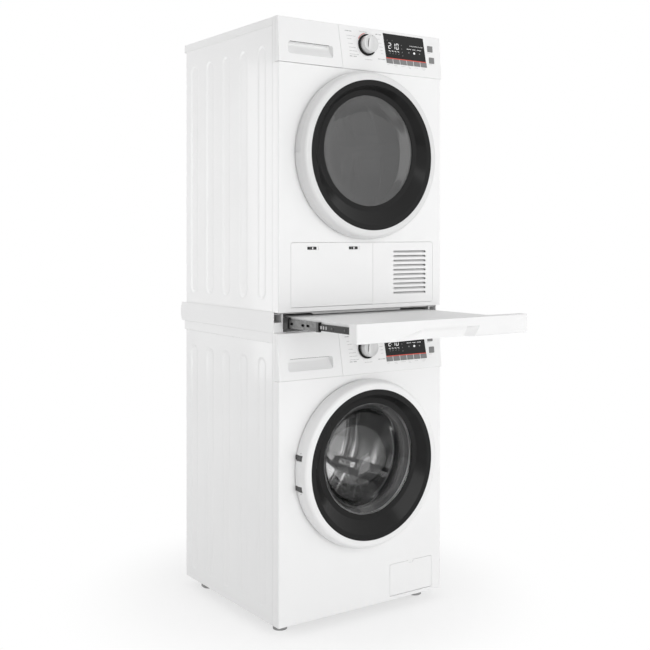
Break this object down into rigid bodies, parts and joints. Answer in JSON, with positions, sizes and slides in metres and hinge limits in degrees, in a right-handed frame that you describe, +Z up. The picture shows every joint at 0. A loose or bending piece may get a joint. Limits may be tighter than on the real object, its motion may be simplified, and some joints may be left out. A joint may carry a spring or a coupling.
{
  "type": "washer dryer stack",
  "caption": "Front-loading washer with a condenser dryer stacked on it and a pull-out shelf between them, with round doors, control panels, drawers and drums.",
  "frame": {"origin": "on the floor, at the centre of the overall footprint with the shelf pulled out", "axes": "+Z up, +X to the user's right, -Y out of the front towards the user"},
  "size_m": [0.602, 0.96, 1.739],
  "materials": {
    "white_enamel": "gloss",
    "white_cover": "satin",
    "kit_steel": "powder coat",
    "shelf_white": "laminate",
    "door_white": "gloss",
    "door_black": "gloss",
    "bowl_glass": "clear",
    "smoked_glass": "tinted",
    "display_glass": "gloss",
    "knob_silver": "metallised",
    "key_grey": "satin",
    "grey_rubber": "matte",
    "stainless": "brushed",
    "tub_plastic": "moulded",
    "die_cast": "cast",
    "motor_steel": "dark",
    "belt_rubber": "matte",
    "tub_mounting": "raw",
    "hinge_zinc": "zinc plated",
    "slide_zinc": "zinc plated",
    "slide_black": "black",
    "foot_grey": "satin"
  },
  "bodies": {
    "root": {"display_windows": "display_glass", "door_hinges": "hinge_zinc", "drive_belts": "belt_rubber", "drive_motors": "motor_steel", "dryer_bulkhead": "tub_plastic", "dryer_cabinet": "white_enamel", "dryer_fascia": "white_cover", "dryer_front_panel": "white_enamel", "dryer_grille": "white_cover", "dryer_top_cover": "white_cover", "kit_frame": "kit_steel", "levelling_feet": "foot_grey", "slide_fixed": "slide_zinc", "washer_cabinet": "white_enamel", "washer_drain_pump": "tub_plastic", "washer_drawer_housing": "tub_plastic", "washer_fascia": "white_cover", "washer_front_panel": "white_enamel", "washer_gasket": "grey_rubber", "washer_top_cover": "white_cover", "washer_tub": "tub_plastic", "washer_tub_mounting": "tub_mounting"},
    "washer_door": {"washer_door_ring": "door_white", "washer_door_trim": "door_black", "washer_door_glass": "bowl_glass"},
    "washer_knob": {"washer_knob": "knob_silver"},
    "washer_power_key": {"washer_power_key": "key_grey"},
    "washer_start_key": {"washer_start_key": "key_grey"},
    "washer_key_1": {"washer_key_1": "key_grey"},
    "washer_key_2": {"washer_key_2": "key_grey"},
    "washer_key_3": {"washer_key_3": "key_grey"},
    "washer_key_4": {"washer_key_4": "key_grey"},
    "washer_key_5": {"washer_key_5": "key_grey"},
    "washer_key_6": {"washer_key_6": "key_grey"},
    "dryer_door": {"dryer_door_ring": "door_white", "dryer_door_trim": "door_black", "dryer_door_glass": "smoked_glass"},
    "dryer_knob": {"dryer_knob": "knob_silver"},
    "dryer_power_key": {"dryer_power_key": "key_grey"},
    "dryer_start_key": {"dryer_start_key": "key_grey"},
    "dryer_key_1": {"dryer_key_1": "key_grey"},
    "dryer_key_2": {"dryer_key_2": "key_grey"},
    "dryer_key_3": {"dryer_key_3": "key_grey"},
    "dryer_key_4": {"dryer_key_4": "key_grey"},
    "dryer_key_5": {"dryer_key_5": "key_grey"},
    "dryer_key_6": {"dryer_key_6": "key_grey"},
    "washer_drum": {"washer_drum": "stainless", "washer_drum_pulley": "die_cast"},
    "washer_motor_pulley": {"washer_motor_pulley": "die_cast"},
    "dryer_drum": {"dryer_drum": "stainless"},
    "washer_drawer": {"washer_drawer": "white_cover"},
    "dryer_water_tank": {"dryer_water_tank": "white_cover"},
    "washer_filter_flap": {"washer_filter_flap": "white_cover"},
    "dryer_condenser_flap": {"dryer_condenser_flap": "white_cover"},
    "dryer_flap_latches": {"dryer_flap_latches": "white_cover"},
    "dryer_lint_filter": {"dryer_lint_filter": "tub_plastic"},
    "shelf": {"shelf_board": "shelf_white", "shelf_front": "white_cover", "slide_inner": "slide_black"},
    "slide_middle": {"slide_middle": "slide_zinc"}
  },
  "joints": [
    {"name": "washer_door_hinge", "type": "hinge", "parent": "root", "child": "washer_door", "pos_m": [-0.236, -0.136, 0.457], "axis": [0, 0, -1], "range_deg": [0, 110]},
    {"name": "washer_knob_turn", "type": "hinge", "parent": "root", "child": "washer_knob", "pos_m": [0.011, -0.11099, 0.79277], "axis": [0, -0.9969, 0.0781], "continuous": true},
    {"name": "washer_power_key_press", "type": "slide", "parent": "root", "child": "washer_power_key", "axis": [0, 0.9969, -0.0781], "range_m": [0, 0.0008], "stiffness_N_per_m": 600},
    {"name": "washer_start_key_press", "type": "slide", "parent": "root", "child": "washer_start_key", "axis": [0, 0.9969, -0.0781], "range_m": [0, 0.0008], "stiffness_N_per_m": 600},
    {"name": "washer_key_1_press", "type": "slide", "parent": "root", "child": "washer_key_1", "axis": [0, 0.9969, -0.0781], "range_m": [0, 0.0008], "stiffness_N_per_m": 600},
    {"name": "washer_key_2_press", "type": "slide", "parent": "root", "child": "washer_key_2", "axis": [0, 0.9969, -0.0781], "range_m": [0, 0.0008], "stiffness_N_per_m": 600},
    {"name": "washer_key_3_press", "type": "slide", "parent": "root", "child": "washer_key_3", "axis": [0, 0.9969, -0.0781], "range_m": [0, 0.0008], "stiffness_N_per_m": 600},
    {"name": "washer_key_4_press", "type": "slide", "parent": "root", "child": "washer_key_4", "axis": [0, 0.9969, -0.0781], "range_m": [0, 0.0008], "stiffness_N_per_m": 600},
    {"name": "washer_key_5_press", "type": "slide", "parent": "root", "child": "washer_key_5", "axis": [0, 0.9969, -0.0781], "range_m": [0, 0.0008], "stiffness_N_per_m": 600},
    {"name": "washer_key_6_press", "type": "slide", "parent": "root", "child": "washer_key_6", "axis": [0, 0.9969, -0.0781], "range_m": [0, 0.0008], "stiffness_N_per_m": 600},
    {"name": "dryer_door_hinge", "type": "hinge", "parent": "root", "child": "dryer_door", "pos_m": [0.236, -0.136, 1.358], "axis": [0, 0, 1], "range_deg": [0, 110]},
    {"name": "dryer_knob_turn", "type": "hinge", "parent": "root", "child": "dryer_knob", "pos_m": [0.011, -0.11075, 1.68675], "axis": [0, -0.9967, 0.0811], "continuous": true},
    {"name": "dryer_power_key_press", "type": "slide", "parent": "root", "child": "dryer_power_key", "axis": [0, 0.9967, -0.0811], "range_m": [0, 0.0008], "stiffness_N_per_m": 600},
    {"name": "dryer_start_key_press", "type": "slide", "parent": "root", "child": "dryer_start_key", "axis": [0, 0.9967, -0.0811], "range_m": [0, 0.0008], "stiffness_N_per_m": 600},
    {"name": "dryer_key_1_press", "type": "slide", "parent": "root", "child": "dryer_key_1", "axis": [0, 0.9967, -0.0811], "range_m": [0, 0.0008], "stiffness_N_per_m": 600},
    {"name": "dryer_key_2_press", "type": "slide", "parent": "root", "child": "dryer_key_2", "axis": [0, 0.9967, -0.0811], "range_m": [0, 0.0008], "stiffness_N_per_m": 600},
    {"name": "dryer_key_3_press", "type": "slide", "parent": "root", "child": "dryer_key_3", "axis": [0, 0.9967, -0.0811], "range_m": [0, 0.0008], "stiffness_N_per_m": 600},
    {"name": "dryer_key_4_press", "type": "slide", "parent": "root", "child": "dryer_key_4", "axis": [0, 0.9967, -0.0811], "range_m": [0, 0.0008], "stiffness_N_per_m": 600},
    {"name": "dryer_key_5_press", "type": "slide", "parent": "root", "child": "dryer_key_5", "axis": [0, 0.9967, -0.0811], "range_m": [0, 0.0008], "stiffness_N_per_m": 600},
    {"name": "dryer_key_6_press", "type": "slide", "parent": "root", "child": "dryer_key_6", "axis": [0, 0.9967, -0.0811], "range_m": [0, 0.0008], "stiffness_N_per_m": 600},
    {"name": "washer_drum_spin", "type": "hinge", "parent": "root", "child": "washer_drum", "pos_m": [0, -0.034, 0.471], "axis": [0, 1, 0], "continuous": true},
    {"name": "washer_motor_spin", "type": "hinge", "parent": "root", "child": "washer_motor_pulley", "pos_m": [0.095, 0.328, 0.129], "axis": [0, 1, 0], "continuous": true},
    {"name": "dryer_drum_spin", "type": "hinge", "parent": "root", "child": "dryer_drum", "pos_m": [0, -0.068, 1.372], "axis": [0, 1, 0], "continuous": true},
    {"name": "washer_drawer_slide", "type": "slide", "parent": "root", "child": "washer_drawer", "axis": [0, -1, 0], "range_m": [0, 0.24]},
    {"name": "dryer_water_tank_slide", "type": "slide", "parent": "root", "child": "dryer_water_tank", "axis": [0, -1, 0], "range_m": [0, 0.36]},
    {"name": "washer_filter_flap_hinge", "type": "hinge", "parent": "root", "child": "washer_filter_flap", "pos_m": [0.179, -0.1105, 0.0415], "axis": [1, 0, 0], "range_deg": [0, 95]},
    {"name": "dryer_condenser_flap_hinge", "type": "hinge", "parent": "root", "child": "dryer_condenser_flap", "pos_m": [-0.1115, -0.1105, 0.9225], "axis": [1, 0, 0], "range_deg": [0, 90]},
    {"name": "dryer_flap_latches_slide", "type": "slide", "parent": "dryer_condenser_flap", "child": "dryer_flap_latches", "axis": [1, 0, 0], "range_m": [0, 0.006]},
    {"name": "dryer_lint_filter_lift", "type": "slide", "parent": "root", "child": "dryer_lint_filter", "axis": [0, 0, 1], "range_m": [0, 0.11]},
    {"name": "shelf_slide", "type": "slide", "parent": "root", "child": "shelf", "axis": [0, 1, 0], "range_m": [0, 0.36]},
    {"name": "slide_middle_slide", "type": "slide", "parent": "root", "child": "slide_middle", "axis": [0, 1, 0], "range_m": [0, 0.18]}
  ],
  "couplings": [
    {"joint": "slide_middle_slide", "follows": "shelf_slide", "ratio": 0.5},
    {"joint": "washer_motor_spin", "follows": "washer_drum_spin", "ratio": 9.6429}
  ]
}
